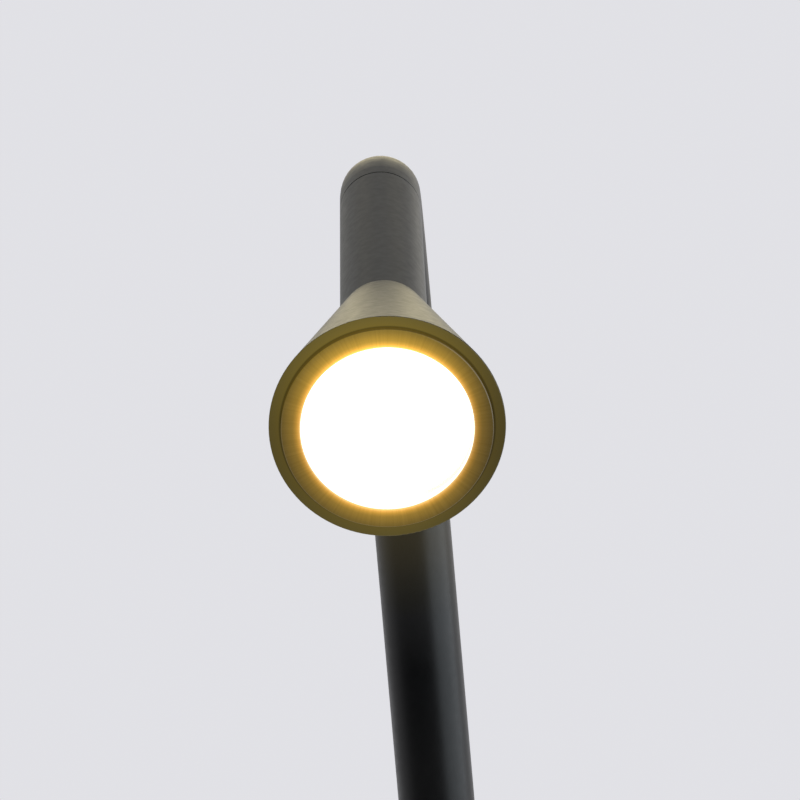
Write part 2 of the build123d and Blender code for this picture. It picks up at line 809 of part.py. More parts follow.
# Heat sink: a finned core under the plate that carries the light source
with BuildPart() as heat_sink:
    with BuildSketch(head_face.offset(fin_start)):
        with PolarLocations(0, fin_count):
            with Locations((rim_radius / 2, 0)):
                Rectangle(rim_radius, fin_thickness)
    extrude(amount=sink_plate_station - fin_start)
    with BuildSketch(head_section):
        with BuildLine():
            Polyline(
                (0, fin_start),
                (cone_radius(fin_start) - shell_wall - sink_gap, fin_start),
                (cone_radius(sink_plate_station) - shell_wall - sink_gap, sink_plate_station),
                (0, sink_plate_station),
                close=True,
            )
        make_face()
    revolve(axis=head_axis, mode=Mode.INTERSECT)
    sink_face_station = sink_plate_station + sink_plate_thickness
    plate_rim = cone_radius(sink_plate_station) - shell_wall - sink_gap
    with BuildSketch(head_section):
        with BuildLine():
            Polyline(
                (0, shell_web),
                (sink_core_radius, shell_web),
                (sink_core_radius, sink_plate_station),
                (plate_rim, sink_plate_station),
                (plate_rim, sink_face_station),
                (0, sink_face_station),
                close=True,
            )
        make_face()
    revolve(axis=head_axis)
    with BuildSketch(head_face.offset(shell_web)):
        Circle(nipple_radius)
    extrude(amount=nipple_in_sink, mode=Mode.SUBTRACT)
    with BuildSketch(head_face.offset(shell_web)):
        Circle(nipple_bore)
    extrude(amount=sink_face_station - shell_web, mode=Mode.SUBTRACT)
    with BuildSketch(head_face.offset(sink_face_station)):
        with PolarLocations(led_screw_circle, led_screw_count):
            Circle(led_screw_radius)
    extrude(amount=-sink_plate_thickness, mode=Mode.SUBTRACT)

# Light source: board, chip and three screws
with BuildPart() as led_board:
    with BuildSketch(head_face.offset(sink_face_station)):
        Circle(board_radius)
        with PolarLocations(led_screw_circle, led_screw_count):
            Circle(led_screw_radius, mode=Mode.SUBTRACT)
    extrude(amount=board_thickness)

board_face_station = sink_face_station + board_thickness
with BuildPart() as led_chip:
    with BuildSketch(head_face.offset(board_face_station)):
        Circle(chip_radius)
    extrude(amount=chip_height)
    fillet(led_chip.faces().sort_by(head_axis)[-1].edges(), chip_height / 2)

with BuildPart() as led_screws:
    with BuildSketch(head_face.offset(board_face_station)):
        with PolarLocations(led_screw_circle, led_screw_count):
            Circle(led_screw_radius)
    extrude(amount=-(board_thickness + sink_plate_thickness))
    with BuildSketch(head_face.offset(board_face_station)):
        with PolarLocations(led_screw_circle, led_screw_count):
            Circle(led_screw_head_radius)
    extrude(amount=led_screw_head_height)
    with BuildSketch(head_face.offset(board_face_station + led_screw_head_height)):
        with PolarLocations(led_screw_circle, led_screw_count):
            RegularPolygon(led_screw_radius, 6)
    extrude(amount=-led_screw_recess, mode=Mode.SUBTRACT)

# Reflector cone between the board and the gasket
with BuildPart() as reflector:
    flange_station = shoulder - reflector_flange
    with BuildSketch(head_section):
        with BuildLine():
            Polyline(
                (reflector_throat, board_face_station),
                (reflector_throat + reflector_wall, board_face_station),
                (reflector_mouth + reflector_wall, flange_station),
                (lens_radius, flange_station),
                (lens_radius, shoulder),
                (reflector_mouth, shoulder),
                close=True,
            )
        make_face()
    revolve(axis=head_axis)

# Gasket, lens and bezel ring; the bezel stands a little proud of the rim
with BuildPart() as lens_gasket:
    with BuildSketch(head_face.offset(shoulder)):
        Circle(lens_radius)
        Circle(gasket_bore, mode=Mode.SUBTRACT)
    extrude(amount=gasket_thickness)

lens_back = shoulder + gasket_thickness
with BuildPart() as lens:
    with BuildSketch(head_face.offset(lens_back)):
        Circle(lens_radius)
    extrude(amount=lens_thickness)

with BuildPart() as bezel_ring:
    lens_front = lens_back + lens_thickness
    bezel_front = cone_length + bezel_stand
    bezel_radius = seat_radius - seat_gap
    with BuildSketch(head_section):
        with BuildLine():
            Polyline(
                (lens_radius + slip_clearance, shoulder),
                (bezel_radius, shoulder),
                (bezel_radius, bezel_front),
                (aperture_radius, bezel_front),
                (aperture_radius, lens_front),
                (lens_radius + slip_clearance, lens_front),
                close=True,
            )
        make_face()
    revolve(axis=head_axis)
    front_edges = bezel_ring.faces().sort_by(head_axis)[-1].edges()
    chamfer(front_edges, bezel_edge)

# Leads: the wall side runs from the driver through the neck to the stem's axis
with BuildPart() as wall_leads:
    lead_turn_y = -(neck_back - lead_bend)
    with BuildLine(Plane.YZ) as wall_lead_route:
        Line((lead_turn_y, driver_foot), (lead_turn_y, lead_bend))
        CenterArc((lead_turn_y - lead_bend, lead_bend), lead_bend, 0, -90)
        Line((lead_turn_y - lead_bend, 0), (stem_y + lead_bend, 0))
        CenterArc((stem_y + lead_bend, lead_bend), lead_bend, -90, -90)
    with BuildSketch(Plane.XY.offset(driver_foot)):
        with Locations((0, lead_turn_y)):
            Circle(lead_radius)
    sweep(path=wall_lead_route.wire())

# The arm side runs from there up the stem, round the bend and down to the light source
with BuildPart() as arm_leads:
    lead_end = cone_start + head_direction * sink_face_station
    with BuildLine(Plane.YZ) as arm_lead_route:
        Line((stem_y, lead_bend), (stem_y, bend_start))
        CenterArc((stem_y - bend_radius, bend_start), bend_radius, 0, turn)
        Line((bend_end.Y, bend_end.Z), (lead_end.Y, lead_end.Z))
    with BuildSketch(Plane.XY.offset(lead_bend)):
        with Locations((0, stem_y)):
            Circle(lead_radius)
    sweep(path=arm_lead_route.wire())

# Mains wires between the terminal block, the switch and the driver
wire_depth = -plate_thickness - terminal_wire_height
tag_depth = -(switch_back - switch_tag_length) + mains_wire_radius
tag_x = switch_tag_spread / 2
side_x = terminal_length / 2 + terminal_wire_hole * 2
with BuildPart() as mains_wires:
    with BuildSketch(Plane.XY.offset(terminal_top)):
        with Locations((-terminal_pitch, wire_depth)):
            Circle(mains_wire_radius)
    extrude(amount=driver_foot - terminal_top)
    with BuildLine() as feed_route:
        feed = Spline(
            (terminal_pitch, wire_depth, terminal_foot),
            (tag_x, tag_depth, switch_height),
            tangents=((0, 0, -1), (-1, 0, 0)),
        )
    with BuildSketch(Plane(origin=feed @ 0, z_dir=feed % 0)):
        Circle(mains_wire_radius)
    sweep(path=feed_route.wire())
    with BuildLine() as return_route:
        bow = Spline(
            (-tag_x, tag_depth, switch_height),
            (-terminal_pitch, wire_depth, switch_height),
            (-side_x, wire_depth, terminal_centre_height),
            tangents=((-1, 0, 0), (0, 0, 1)),
        )
        Line(bow @ 1, (-side_x, wire_depth, driver_foot))
    with BuildSketch(Plane(origin=bow @ 0, z_dir=bow % 0)):
        Circle(mains_wire_radius)
    sweep(path=return_route.wire())

pieces = {
    "wall_bracket": wall_bracket,
    "entry_grommet": entry_grommet,
    "earth_screw": earth_screw,
    "terminal_block": terminal_block,
    "terminal_screws": terminal_screws,
    "led_driver": led_driver,
    "driver_screws": driver_screws,
    "canopy": canopy,
    "canopy_screws": canopy_screws,
    "neck_tube": neck_tube,
    "neck_washer": neck_washer,
    "neck_nut": neck_nut,
    "hub_housing": hub_housing,
    "upper_bush": upper_bush,
    "lower_bush": lower_bush,
    "stop_pin": stop_pin,
    "hub_cap": hub_cap,
    "switch_body": switch_body,
    "switch_nut": switch_nut,
    "switch_button": switch_button,
    "pivot_spindle": pivot_spindle,
    "friction_washer": friction_washer,
    "disc_spring": disc_spring,
    "retaining_nut": retaining_nut,
    "arm_tube": arm_tube,
    "arm_screw": arm_screw,
    "head_spigot": head_spigot,
    "head_tube": head_tube,
    "spigot_screws": spigot_screws,
    "head_collar": head_collar,
    "head_nipple": head_nipple,
    "head_shell": head_shell,
    "heat_sink": heat_sink,
    "led_board": led_board,
    "led_chip": led_chip,
    "led_screws": led_screws,
    "reflector": reflector,
    "lens_gasket": lens_gasket,
    "lens": lens,
    "bezel_ring": bezel_ring,
    "wall_leads": wall_leads,
    "arm_leads": arm_leads,
    "mains_wires": mains_wires,
}
for name, piece in pieces.items():
    piece.part.label = name
    export_step(piece.part, f"parts/{name}.step")
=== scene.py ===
"""Wall lamp with a cone head on a bent tube arm: finishes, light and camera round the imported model.

Lengths are in metres in the model's own frame: +Z up, the lamp reaching out of the wall towards -Y.
"""

import json
from math import cos, pi, radians, sin

import bpy
from mathutils import Matrix, Vector


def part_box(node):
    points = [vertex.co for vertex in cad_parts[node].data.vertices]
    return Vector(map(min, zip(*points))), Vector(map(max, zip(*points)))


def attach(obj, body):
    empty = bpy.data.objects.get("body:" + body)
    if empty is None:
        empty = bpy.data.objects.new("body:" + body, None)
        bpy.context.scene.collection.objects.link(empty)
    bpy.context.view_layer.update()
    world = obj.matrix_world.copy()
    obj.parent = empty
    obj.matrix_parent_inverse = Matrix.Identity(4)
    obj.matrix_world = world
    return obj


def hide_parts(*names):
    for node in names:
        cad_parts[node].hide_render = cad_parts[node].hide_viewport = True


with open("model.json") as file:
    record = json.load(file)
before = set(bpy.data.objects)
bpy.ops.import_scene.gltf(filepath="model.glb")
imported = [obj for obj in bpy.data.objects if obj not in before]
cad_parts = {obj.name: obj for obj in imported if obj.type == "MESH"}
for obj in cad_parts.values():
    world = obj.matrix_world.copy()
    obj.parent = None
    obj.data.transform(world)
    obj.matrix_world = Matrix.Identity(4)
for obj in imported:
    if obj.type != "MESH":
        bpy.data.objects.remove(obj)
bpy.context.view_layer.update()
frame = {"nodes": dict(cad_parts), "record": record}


def half_width(box):
    low, high = box
    return (high.x - low.x) / 2


def middle(box):
    low, high = box
    return (low + high) / 2


# Places on the lamp. Stations are measured along the head's axis from the cone's small end.
MM = 0.001
HEAD_TILT = radians(18)
HEAD_DIRECTION = Vector((0, -cos(HEAD_TILT), -sin(HEAD_TILT)))
HEAD_TURN = (pi / 2 + HEAD_TILT, 0, 0)
RIM_RADIUS = half_width(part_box("head_shell"))
BEZEL_RADIUS = half_width(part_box("bezel_ring"))
LENS_RADIUS = half_width(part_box("lens"))
OPENING_RADIUS = 23.1 * MM
LENS_THICK = 2.5 * MM
LENS_STATION = 76 * MM
RIM_STATION = 80 * MM
BEZEL_STATION = 81.5 * MM
LENS_BACK = middle(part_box("lens")) - HEAD_DIRECTION * LENS_THICK / 2
CONE_START = LENS_BACK - HEAD_DIRECTION * LENS_STATION
STEM_AXIS = Vector((0, -75 * MM, 0))
FLOOR_HEIGHT = -0.25

# Colours: linear red, green and blue, and alpha
PAPER = (0.755, 0.755, 0.79, 1)
PAPER_FLECK = (0.74, 0.74, 0.77, 1)
SOFT_LIGHT = (1.0, 0.99, 0.98, 1)
SOFT_STRENGTH = 0.5
POWDER_BLACK = (0.0038, 0.0039, 0.0042, 1)
POWDER_WORN = (0.0065, 0.0064, 0.0064, 1)
MILK = (0.88, 0.87, 0.85, 1)
MILK_SHADE = (0.84, 0.83, 0.80, 1)

# The room as the coat mirrors it
ROOM_FRONT = (0.020, 0.020, 0.024, 1)
ROOM_REAR = (0.52, 0.52, 0.51, 1)
ROOM_RIGHT = (1.05, 1.02, 0.95, 1)
LIT_WALL = (2.25, 2.0, 1.32, 1)

# The lamp's light: the lens's own glow, and glow and highlights painted on its parts. Each row has a
# share of the way across and the colour there.
RIM_GLOW = (
    (0.0, (0.100, 0.072, 0.012, 1)),
    (1.0, (0.079, 0.060, 0.012, 1)),
)
BEZEL_GLOW = (
    (0.0, (1.0, 0.62, 0.18, 1)),
    (0.05, (0.84, 0.46, 0.108, 1)),
    (0.11, (0.66, 0.340, 0.055, 1)),
    (0.215, (0.45, 0.237, 0.027, 1)),
    (0.31, (0.33, 0.183, 0.022, 1)),
    (0.41, (0.245, 0.144, 0.016, 1)),
    (0.62, (0.190, 0.115, 0.013, 1)),
    (0.82, (0.142, 0.089, 0.011, 1)),
    (1.0, (0.110, 0.072, 0.009, 1)),
)
BORE_GLOW = (1.6, 1.42, 1.02, 1)
STEM_GLOW = (
    (0.0, (0, 0, 0, 1)),
    (0.17, (0.005, 0.005, 0.005, 1)),
    (0.23, (0.0078, 0.0073, 0.0052, 1)),
    (0.30, (0.0135, 0.0120, 0.0075, 1)),
    (0.36, (0.0200, 0.0170, 0.0095, 1)),
    (0.43, (0.0270, 0.0225, 0.0115, 1)),
    (0.52, (0.0250, 0.0212, 0.0115, 1)),
    (0.75, (0.0100, 0.0088, 0.0055, 1)),
    (1.0, (0, 0, 0, 1)),
)
LENS_GLOW = (
    (0.0, (1, 0.97, 0.90, 1)),
    (0.8, (1, 0.95, 0.86, 1)),
    (0.982, (1, 0.92, 0.78, 1)),
    (0.990, (0.33, 0.295, 0.262, 1)),
)
# Painted highlight: a cream arc on the lens where the bezel's lit inner wall shows
LENS_HIGHLIGHT_ARC_EDGE = (0.24, 0.23, 0.22, 1)
LENS_HIGHLIGHT_ARC = (0.135, 0.112, 0.060, 1)
LENS_STRENGTH = 3.2

SOCKET_NAMES = {"ior": "IOR", "specular": "Specular IOR Level"}


class Nodes:
    """A material's node tree, filled with short calls."""

    def __init__(self, name):
        self.material = bpy.data.materials.new(name)
        self.start(self.material, "ShaderNodeOutputMaterial", "Object")

    def start(self, owner, output, coordinates):
        """Begins the tree with its output and the coordinates that everything is placed by."""
        owner.use_nodes = True
        self.tree = owner.node_tree
        self.tree.nodes.clear()
        self.output = self.add(output)
        self.place = self.add("ShaderNodeTexCoord").outputs[coordinates]

    def add(self, kind, **settings):
        node = self.tree.nodes.new(kind)
        for key, value in settings.items():
            setattr(node, key, value)
        return node

    def link(self, source, target):
        self.tree.links.new(source, target)

    def feed(self, socket, value):
        """Links another node's output to the socket, or writes a plain value in it."""
        if isinstance(value, bpy.types.NodeSocket):
            self.link(value, socket)
        else:
            socket.default_value = value

    def math(self, operation, *values):
        node = self.add("ShaderNodeMath", operation=operation)
        for socket, value in zip(node.inputs, values):
            self.feed(socket, value)
        return node.outputs[0]

    def times(self, first, second):
        return self.math("MULTIPLY", first, second)

    def vector(self, operation, first, second=None):
        """The vector node for an operation on one vector, or on two."""
        node = self.add("ShaderNodeVectorMath", operation=operation)
        self.link(first, node.inputs[0])
        if second is not None:
            node.inputs[1].default_value = second
        return node

    def scaled(self, colour, level):
        """A colour times a number that varies over the surface."""
        node = self.vector("SCALE", colour)
        self.link(level, node.inputs["Scale"])
        return node.outputs[0]

    def local(self, origin, turn=(0, 0, 0)):
        """Coordinates from an origin, in a turned set of axes."""
        node = self.add("ShaderNodeMapping", vector_type="TEXTURE")
        self.link(self.place, node.inputs["Vector"])
        node.inputs["Location"].default_value = origin
        node.inputs["Rotation"].default_value = turn
        return node.outputs[0]

    def split(self, vector):
        node = self.add("ShaderNodeSeparateXYZ")
        self.link(vector, node.inputs[0])
        return node.outputs

    def flat(self, vector):
        """The vector without its local Z."""
        return self.vector("MULTIPLY", vector, (1, 1, 0)).outputs[0]

    def radius(self, vector):
        return self.vector("LENGTH", self.flat(vector)).outputs["Value"]

    def outward(self, vector):
        """The direction away from the local Z axis, one long."""
        return self.vector("NORMALIZE", self.flat(vector)).outputs[0]

    def bearing(self, vector, across, along):
        """Coordinates that run round the local Z axis with no seam: direction times across, height
        times along."""
        x, y, _ = self.split(self.outward(vector))
        z = self.split(vector)[2]
        out = self.add("ShaderNodeCombineXYZ")
        for socket, value, size in zip(out.inputs, (x, y, z), (across, across, along)):
            self.link(self.times(value, size), socket)
        return out.outputs[0]

    def noise(self, scale, detail=2.0, roughness=0.5, vector=None):
        node = self.add("ShaderNodeTexNoise")
        self.link(vector or self.place, node.inputs["Vector"])
        node.inputs["Scale"].default_value = scale
        node.inputs["Detail"].default_value = detail
        node.inputs["Roughness"].default_value = roughness
        return node.outputs["Fac"]

    def cells(self, scale):
        node = self.add("ShaderNodeTexVoronoi")
        self.link(self.place, node.inputs["Vector"])
        node.inputs["Scale"].default_value = scale
        return node.outputs["Distance"]

    def ramp(self, fac, *stops):
        node = self.add("ShaderNodeValToRGB")
        elements = node.color_ramp.elements
        while len(elements) < len(stops):
            elements.new(0.5)
        for element, (position, colour) in zip(elements, stops):
            element.position = position
            element.color = colour
        self.link(fac, node.inputs[0])
        return node.outputs["Color"]

    def span(self, value, low, high, to_low=0.0, to_high=1.0, smooth=False):
        """Carries a range of values over to another range, and holds its ends beyond it."""
        curve = "SMOOTHSTEP" if smooth else "LINEAR"
        node = self.add("ShaderNodeMapRange", interpolation_type=curve)
        self.link(value, node.inputs["Value"])
        names = ("From Min", "From Max", "To Min", "To Max")
        for name, number in zip(names, (low, high, to_low, to_high)):
            node.inputs[name].default_value = number
        return node.outputs["Result"]

    def grain_span(self, grain, low, high):
        """The middle of a noise's values, carried over to a range."""
        return self.span(grain, 0.3, 0.7, low, high)

    def mix(self, fac, first, second):
        node = self.add("ShaderNodeMix", data_type="RGBA")
        self.feed(node.inputs["Factor"], fac)
        self.feed(node.inputs["A"], first)
        self.feed(node.inputs["B"], second)
        return node.outputs["Result"]

    def bump(self, height, distance, strength=0.3, under=None):
        node = self.add("ShaderNodeBump")
        node.inputs["Strength"].default_value = strength
        node.inputs["Distance"].default_value = distance
        self.link(height, node.inputs["Height"])
        if under is not None:
            self.link(under, node.inputs["Normal"])
        return node.outputs["Normal"]

    def rays(self, *kinds):
        """1 for rays of these kinds, 0 for all others."""
        path = self.add("ShaderNodeLightPath").outputs
        level = path[f"Is {kinds[0]} Ray"]
        for kind in kinds[1:]:
            level = self.math("MAXIMUM", level, path[f"Is {kind} Ray"])
        return level

    def principled(self, **values):
        """The principled shader; a name like base_color stands for the socket Base Color."""
        node = self.add("ShaderNodeBsdfPrincipled")
        for key, value in values.items():
            name = SOCKET_NAMES.get(key, key.replace("_", " ").title())
            self.feed(node.inputs[name], value)
        return node.outputs[0]

    def shader(self, **values):
        self.link(self.principled(**values), self.output.inputs["Surface"])
        return self.material

    def blend(self, fac, first, second):
        """Ends the tree in two shaders, mixed by a number."""
        node = self.add("ShaderNodeMixShader")
        for socket, source in zip(node.inputs, (fac, first, second)):
            self.link(source, socket)
        self.link(node.outputs[0], self.output.inputs["Surface"])


class WorldNodes(Nodes):
    """The world's node tree, filled with the same short calls."""

    def __init__(self, name):
        self.world = bpy.data.worlds.new(name)
        self.start(self.world, "ShaderNodeOutputWorld", "Generated")


def grey(level):
    return (level, level, level, 1)


def tint(colour, level=1.0):
    """A colour darkened by a level, with its alpha."""
    return [part * level for part in colour] + [1]


def powder_surface(n):
    """Satin powder coat: fine orange peel, a little unevenness in tone and gloss."""
    colour = n.ramp(n.noise(scale=28, detail=3), (0.3, POWDER_BLACK), (0.75, POWDER_WORN))
    rough = n.grain_span(n.noise(scale=420), 0.34, 0.40)
    peel = n.bump(n.noise(scale=1900, roughness=0.55), distance=0.010 * MM)
    peel = n.bump(n.noise(scale=5200, detail=1), distance=0.003 * MM, under=peel)
    return {"base_color": colour, "roughness": rough, "normal": peel, "specular": 0.30}


def black_powder_coat():
    n = Nodes("black_powder_coat")
    return n.shader(**powder_surface(n))


def head_places(n):
    """Places on the head: its own coordinates, the station along its axis and the radius."""
    here = n.local(CONE_START, HEAD_TURN)
    return here, n.split(here)[2], n.radius(here)


def round_level(n, here, even, right, up, up_squared=0.0):
    """A number that varies round the head's axis: an even part, and shares of the direction to the
    right and up."""
    x, y, _ = n.split(n.outward(here))
    level = n.math("MULTIPLY_ADD", x, right, even)
    level = n.math("MULTIPLY_ADD", y, up, level)
    return n.math("MULTIPLY_ADD", n.times(y, y), up_squared, level)


def glowing_rim():
    """The head shell's coat, with the lamp's warm spill painted as glow on its front face and in the
    gap beside the bezel."""
    n = Nodes("powder_coat_head_painted_glow")
    here, station, radius = head_places(n)
    gap_radius = BEZEL_RADIUS + 0.4 * MM
    gap_floor = RIM_STATION - 6 * MM
    face = n.span(station, RIM_STATION - 0.25 * MM, RIM_STATION - 0.1 * MM)
    gap = n.times(n.span(radius, gap_radius, gap_radius + 0.2 * MM, 1, 0),
                  n.span(station, gap_floor, gap_floor + 1 * MM))
    lit = n.math("MAXIMUM", face, gap)
    open_to_light = n.span(radius, BEZEL_RADIUS + 0.3 * MM, BEZEL_RADIUS + 0.7 * MM, 0.45, 1)
    around = round_level(n, here, even=0.90, right=-0.10, up=0.30, up_squared=0.55)
    tone = n.ramp(n.span(radius, BEZEL_RADIUS, RIM_RADIUS), *RIM_GLOW)
    # Painted glow: warm emission on the rim face and the bezel gap, stronger towards the top
    glow = n.scaled(tone, n.times(n.times(lit, open_to_light), around))
    return n.shader(**powder_surface(n), emission_color=glow, emission_strength=1.0)


def lit_stem():
    """The arm tube's coat, with a faint warm glow painted on the front of the stem below the head."""
    n = Nodes("powder_coat_arm_painted_glow")
    spill_low, spill_high = 185 * MM, 285 * MM
    front_reach = 9 * MM
    _, y, z = n.split(n.place)
    front = n.span(y, STEM_AXIS.y - front_reach, STEM_AXIS.y, 1, 0, smooth=True)
    spill = n.ramp(n.span(z, spill_low, spill_high), *STEM_GLOW)
    # Painted glow: warm emission on the stem's front, strongest just below the head
    glow = n.mix(front, grey(0), spill)
    return n.shader(**powder_surface(n), emission_color=glow, emission_strength=1.0)


def lit_bezel():
    """Black turned ring: radial brushing, and the light's spill painted as glow, fading from its
    inner edge out; its bore edge is painted bright.
    """
    n = Nodes("black_bezel_painted_glow")
    here, station, radius = head_places(n)
    brushing = n.bearing(here, across=48, along=60)
    streaks = n.noise(scale=1.0, detail=3, roughness=0.6, vector=brushing)
    tone = n.ramp(n.span(radius, OPENING_RADIUS, BEZEL_RADIUS), *BEZEL_GLOW)
    around = round_level(n, here, even=0.86, right=-0.13, up=0.43, up_squared=0.86)
    side = n.span(radius, BEZEL_RADIUS - 0.15 * MM, BEZEL_RADIUS - 0.05 * MM, 0, 0.4)
    face = n.span(station, BEZEL_STATION - 0.35 * MM, BEZEL_STATION - 0.2 * MM)
    lit = n.math("MAXIMUM", side, face)
    level = n.times(n.times(lit, around), n.grain_span(streaks, 0.92, 1.08))
    # Painted glow: the bore's inner edge painted bright, as if the lens lit it
    bore = n.times(n.span(radius, OPENING_RADIUS + 0.05 * MM, OPENING_RADIUS + 0.12 * MM, 1, 0),
                   n.span(station, BEZEL_STATION - 0.5 * MM, BEZEL_STATION - 0.3 * MM, 1, 0))
    return n.shader(
        base_color=n.ramp(streaks, (0.2, grey(0.008)), (0.8, grey(0.014))),
        roughness=n.grain_span(streaks, 0.30, 0.42),
        normal=n.bump(streaks, distance=0.02 * MM, strength=0.4),
        specular=0.4,
        emission_color=n.mix(bore, n.scaled(tone, level), BORE_GLOW),
        emission_strength=1.0,
    )


def opal_lens():
    """Milky acrylic lit from behind. A cream arc of painted highlight lies in the dome's lower right,
    where the bezel's lit inner wall shows."""
    n = Nodes("opal_acrylic")
    here, _, radius = head_places(n)
    arc_radius = 21.1 * MM
    arc_shift = Vector((2.3 * MM, 0, 0))
    glow = n.ramp(n.span(radius, 0, OPENING_RADIUS), *LENS_GLOW)
    off_centre = n.radius(n.local(CONE_START + arc_shift, HEAD_TURN))
    beside = n.math("ABSOLUTE", n.math("SUBTRACT", off_centre, arc_radius))
    line = n.span(beside, 0.2 * MM, 1.0 * MM, 1, 0, smooth=True)
    towards_arc = round_level(n, here, even=0, right=0.77, up=-0.64)
    lower_right = n.span(towards_arc, 0.80, 0.94, smooth=True)
    # Painted highlight: the cream arc of the bezel's lit inner wall
    arc = n.times(line, lower_right)
    glow = n.mix(n.math("GREATER_THAN", arc, 0.01), glow, n.mix(arc, LENS_HIGHLIGHT_ARC_EDGE, LENS_HIGHLIGHT_ARC))
    return n.shader(
        base_color=n.ramp(n.noise(scale=160), (0.3, MILK_SHADE), (0.7, MILK)),
        roughness=n.grain_span(n.noise(scale=240), 0.20, 0.28),
        emission_color=glow,
        emission_strength=LENS_STRENGTH,
        subsurface_weight=0.2,
    )


def plated(name, colour, rough, scale=900, metal=1.0, spread=0.06):
    """A plated or bright metal with a fine mottled grain."""
    n = Nodes(name)
    grain = n.noise(scale=scale, detail=3, roughness=0.6)
    tone = n.ramp(n.noise(scale=90, detail=3), (0.25, tint(colour, 0.86)), (0.8, tint(colour)))
    return n.shader(
        base_color=tone,
        metallic=metal,
        roughness=n.grain_span(grain, rough - spread, rough + spread),
        normal=n.bump(grain, distance=0.01 * MM),
    )


def turned(name, colour, rough, origin, turn=(0, 0, 0)):
    """A metal part from the lathe: fine rings along its own axis."""
    n = Nodes(name)
    places = n.bearing(n.local(origin, turn), across=1.5, along=9000)
    rings = n.noise(scale=1.0, vector=places)
    return n.shader(
        base_color=n.ramp(rings, (0.25, tint(colour, 0.8)), (0.75, tint(colour))),
        metallic=1.0,
        roughness=n.grain_span(rings, rough - 0.07, rough + 0.07),
        normal=n.bump(rings, distance=0.015 * MM, strength=0.35),
    )


def moulded(name, colour, rough, grain=1400, height=0.02 * MM):
    """A moulded plastic or rubber with a fine spark-eroded grain."""
    n = Nodes(name)
    tone = n.ramp(n.noise(scale=60, detail=3), (0.3, tint(colour, 0.88)), (0.75, tint(colour)))
    return n.shader(
        base_color=tone,
        roughness=n.grain_span(n.noise(scale=500), rough - 0.05, rough + 0.05),
        normal=n.bump(n.cells(grain), distance=height, strength=0.35),
    )


def clear_silicone():
    n = Nodes("clear_silicone")
    tone = n.ramp(n.noise(scale=120), (0.3, (0.72, 0.73, 0.72, 1)), (0.7, (0.80, 0.81, 0.80, 1)))
    return n.shader(
        base_color=tone,
        roughness=n.grain_span(n.noise(scale=400), 0.34, 0.42),
        transmission_weight=0.55,
        ior=1.41,
    )


def chip_face():
    """The light chip: yellow phosphor in fine dots, lit."""
    n = Nodes("phosphor")
    dots = n.cells(1500)
    return n.shader(
        base_color=n.ramp(dots, (0.1, (0.86, 0.62, 0.12, 1)), (0.6, (0.95, 0.74, 0.22, 1))),
        roughness=n.span(dots, 0, 0.6, 0.4, 0.55),
        emission_color=(1.0, 0.85, 0.5, 1),
        emission_strength=2.0,
    )


def finish_nodes():
    """Each CAD node takes the finish of its slot in the record, or one of its own."""
    by_slot = {
        "black_coat": black_powder_coat(),
        "zinc_steel": plated("zinc_steel", (0.62, 0.62, 0.60), rough=0.32),
        "turned_steel": turned("turned_steel", (0.52, 0.52, 0.52), rough=0.28, origin=STEM_AXIS),
        "black_steel": plated("black_steel", (0.055, 0.055, 0.057), rough=0.38, metal=0.85),
        "sink_aluminium": turned(
            "sink_aluminium", (0.60, 0.60, 0.61), rough=0.42, origin=CONE_START, turn=HEAD_TURN),
        "bright_aluminium": plated(
            "bright_aluminium", (0.86, 0.86, 0.87), rough=0.16, scale=500, spread=0.04),
        "bearing_plastic": moulded("bearing_plastic", (0.70, 0.68, 0.60), rough=0.42),
        "black_plastic": moulded("black_plastic", (0.022, 0.022, 0.023), rough=0.46),
        "white_plastic": moulded("white_plastic", (0.74, 0.74, 0.72), rough=0.40),
        "black_rubber": moulded(
            "black_rubber", (0.020, 0.020, 0.020), rough=0.68, grain=900, height=0.03 * MM),
        "clear_silicone": clear_silicone(),
        "opal_lens": opal_lens(),
        "board_white": moulded(
            "board_lacquer", (0.80, 0.80, 0.78), rough=0.34, grain=2400, height=0.008 * MM),
        "phosphor": chip_face(),
        "lead_sheath": moulded(
            "lead_sheath", (0.55, 0.55, 0.54), rough=0.50, grain=700, height=0.01 * MM),
        "wire_brown": moulded(
            "wire_brown", (0.16, 0.055, 0.025), rough=0.46, grain=1200, height=0.01 * MM),
        "brass_screw": plated("brass", (0.78, 0.56, 0.24), rough=0.28),
    }
    own = {"head_shell": glowing_rim(), "bezel_ring": lit_bezel(), "arm_tube": lit_stem()}
    for entry in frame["record"]["subparts"]:
        name = entry["node"]
        materials = frame["nodes"][name].data.materials
        materials.clear()
        materials.append(own.get(name, by_slot[entry["material_slot"]]))
    return by_slot


def select_front(piece):
    """Selects the faces of a blank that look along +Z, and stays in edit mode."""
    bpy.ops.object.mode_set(mode="EDIT")
    bpy.ops.mesh.select_mode(type="FACE")
    bpy.ops.mesh.select_all(action="DESELECT")
    bpy.ops.object.mode_set(mode="OBJECT")
    for face in piece.data.polygons:
        face.select = face.normal.z > 0.9
    bpy.ops.object.mode_set(mode="EDIT")


